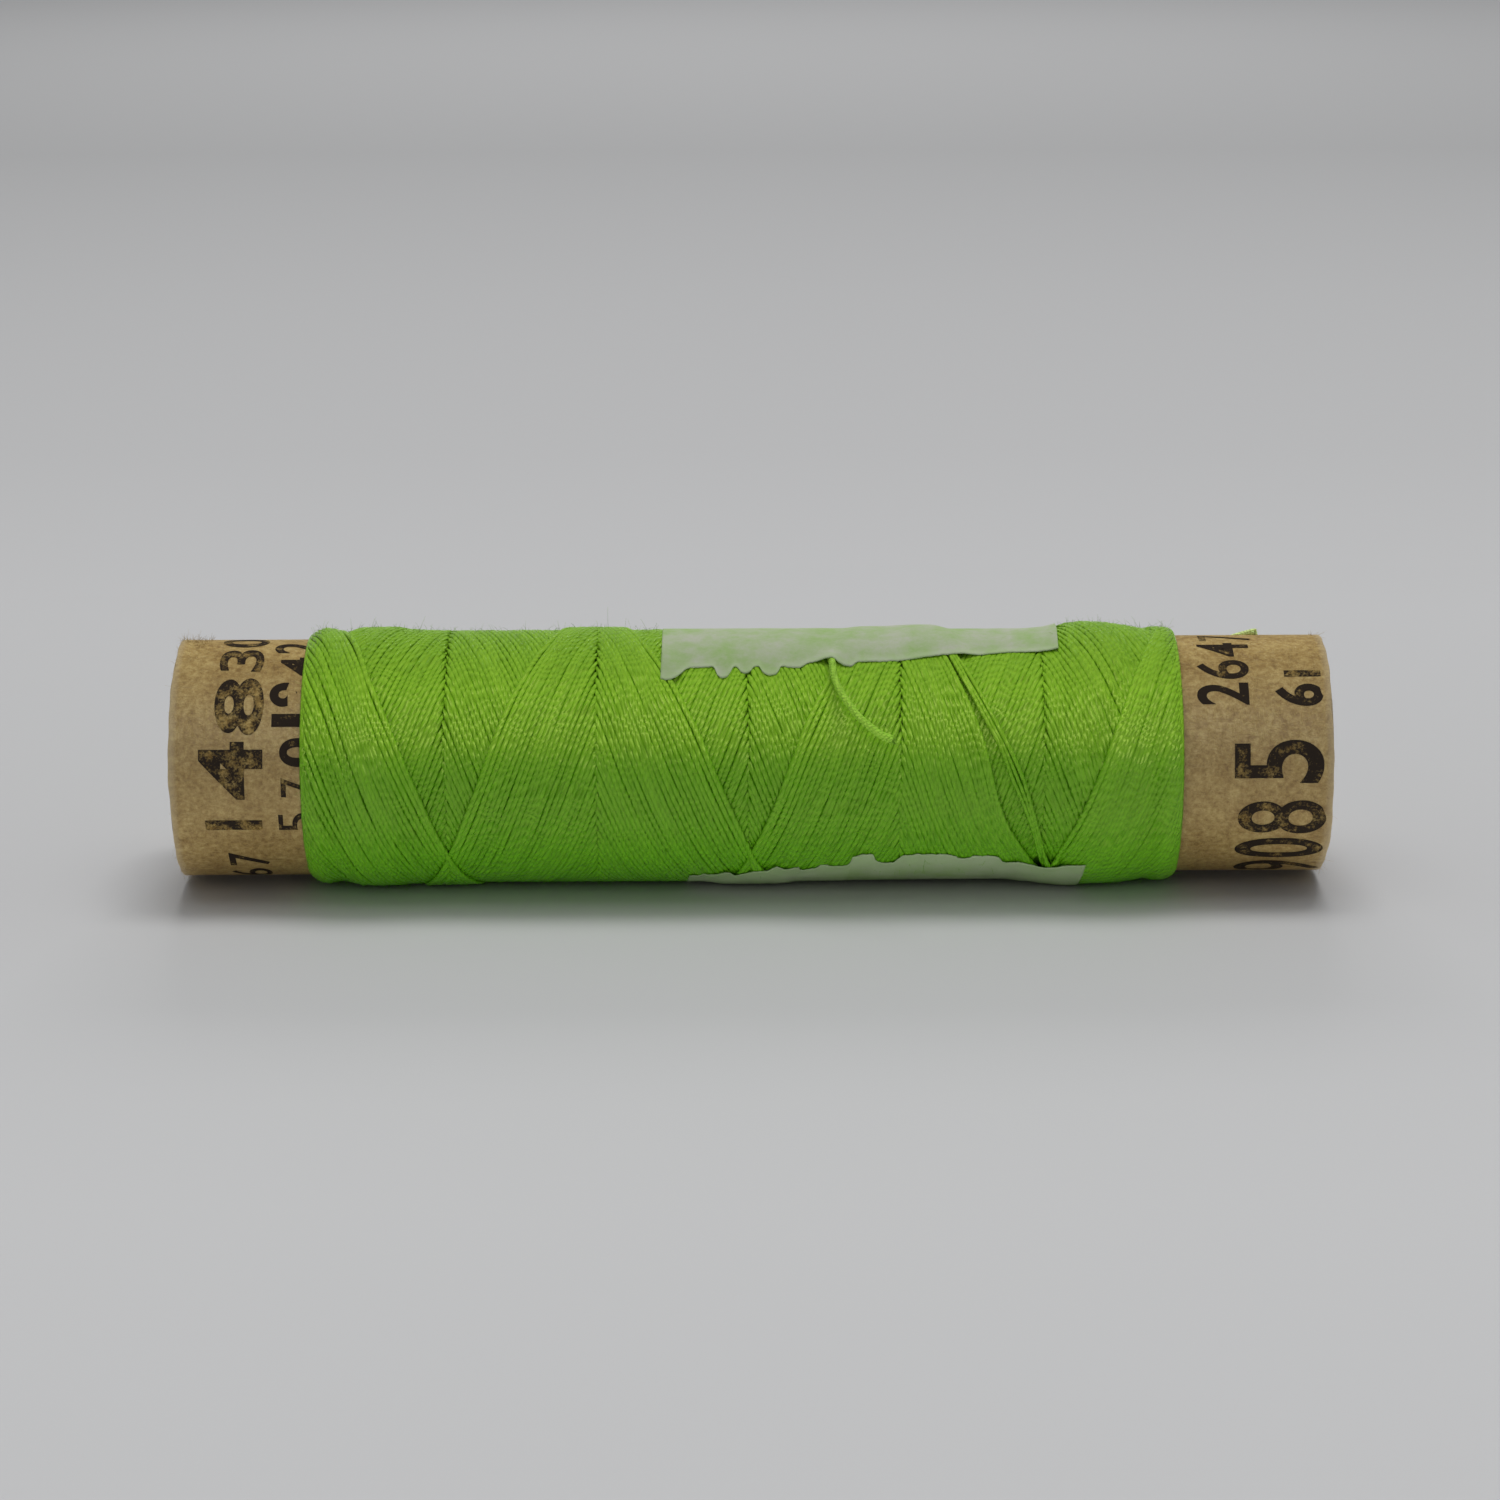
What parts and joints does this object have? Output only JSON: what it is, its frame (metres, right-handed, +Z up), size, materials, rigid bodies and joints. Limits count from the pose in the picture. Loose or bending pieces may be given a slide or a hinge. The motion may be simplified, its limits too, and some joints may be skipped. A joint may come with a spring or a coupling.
{
  "type": "spool of thread",
  "caption": "Sewing thread cross-wound on a plain open-ended paper tube, with a torn paper band round the winding and a loose thread end.",
  "frame": {"origin": "on the axis of the tube's bore, at the tube's mid-length", "axes": "+X along the tube, towards the end beside which the thread's starting end shows; +Z up with the spool lying on its side; -Y towards the side where the band is torn open"},
  "size_m": [0.057, 0.0136, 0.0129],
  "materials": {
    "kraft_core": "rough unbleached paperboard, cut edges",
    "kraft_face": "smooth kraft paper with fine fibres and worn rims",
    "thread_under": "tightly wound thread, shaded between strands",
    "thread": "lime-green spun sewing thread with a soft sheen",
    "band_paper": "thin translucent white paper, torn edges"
  },
  "bodies": {
    "root": {"inner_ply": "kraft_core", "middle_ply": "kraft_core", "outer_ply": "kraft_face", "winding_body": "thread_under", "outer_turns": "thread", "thread_end": "thread", "start_end": "thread", "paper_band": "band_paper"}
  },
  "joints": []
}
